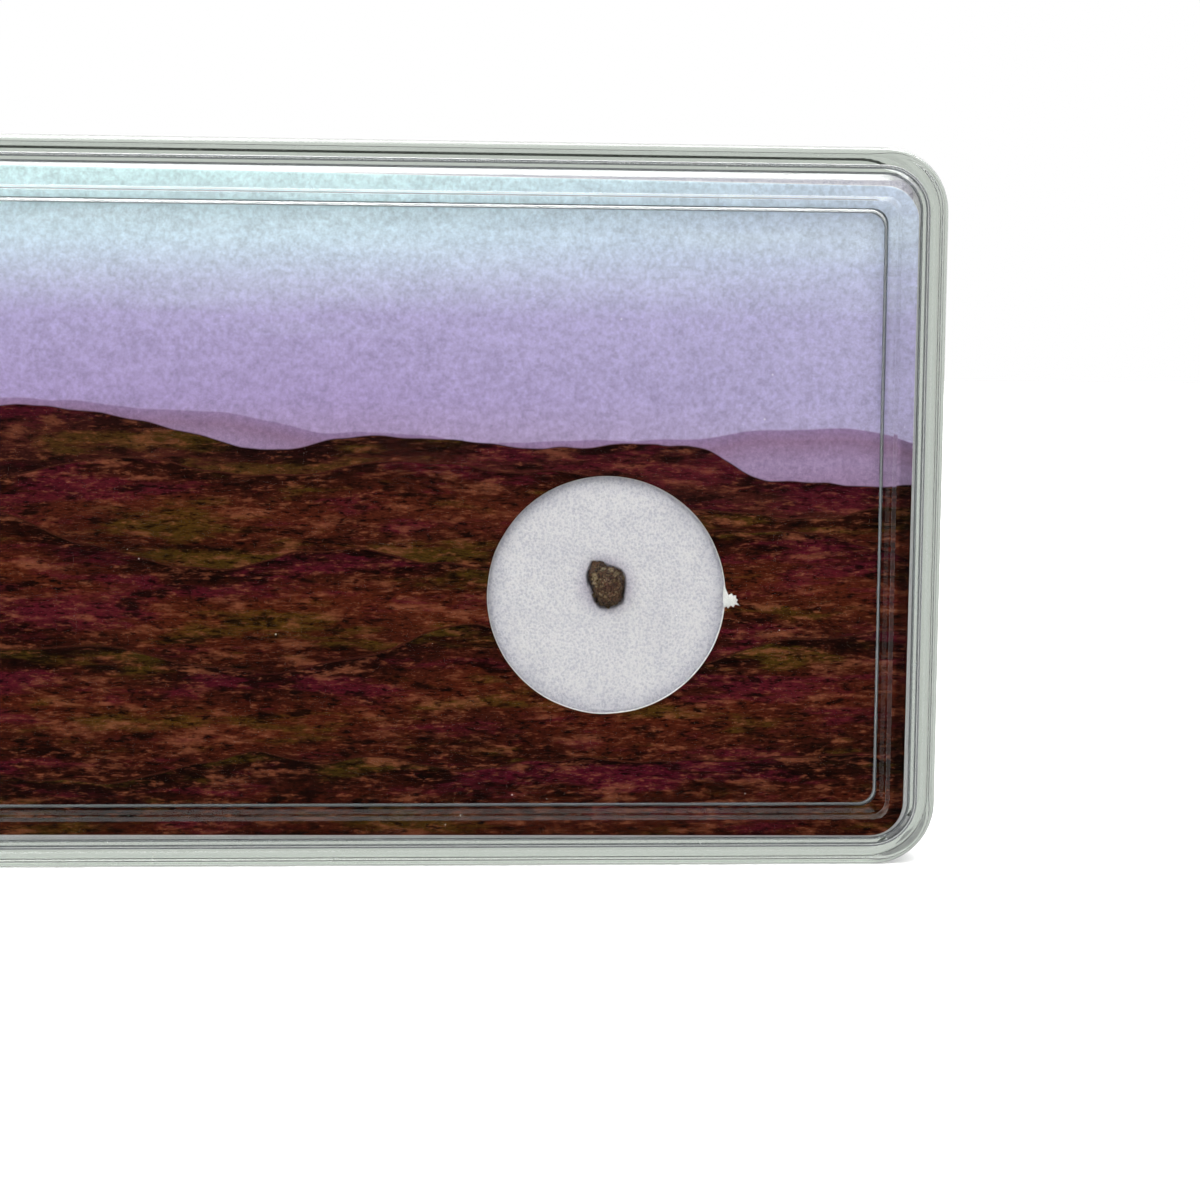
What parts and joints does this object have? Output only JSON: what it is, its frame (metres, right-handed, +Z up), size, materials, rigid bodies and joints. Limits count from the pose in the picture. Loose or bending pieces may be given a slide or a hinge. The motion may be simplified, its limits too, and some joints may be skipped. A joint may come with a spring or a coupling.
{
  "type": "martian meteorite fragment in a clear display box",
  "caption": "Crumb of dark martian rock on a white foam pad, seen through the punched hole of a printed card, in a clear plastic display box with a lift-off lid.",
  "frame": {"origin": "middle of the closed box's bottom edge: centre of its length and depth, on the surface that it stands on", "axes": "+X along the box's length, to the right as its window is looked at; +Y from the window to the back; +Z up"},
  "size_m": [0.079, 0.017, 0.048],
  "materials": {
    "clear_plastic": "gloss",
    "white_foam": "matte",
    "printed_card": "satin",
    "meteorite_rock": "matte"
  },
  "bodies": {
    "root": {"base": "clear_plastic", "foam_pad": "white_foam", "card": "printed_card", "meteorite": "meteorite_rock", "lid": "clear_plastic"}
  },
  "joints": []
}
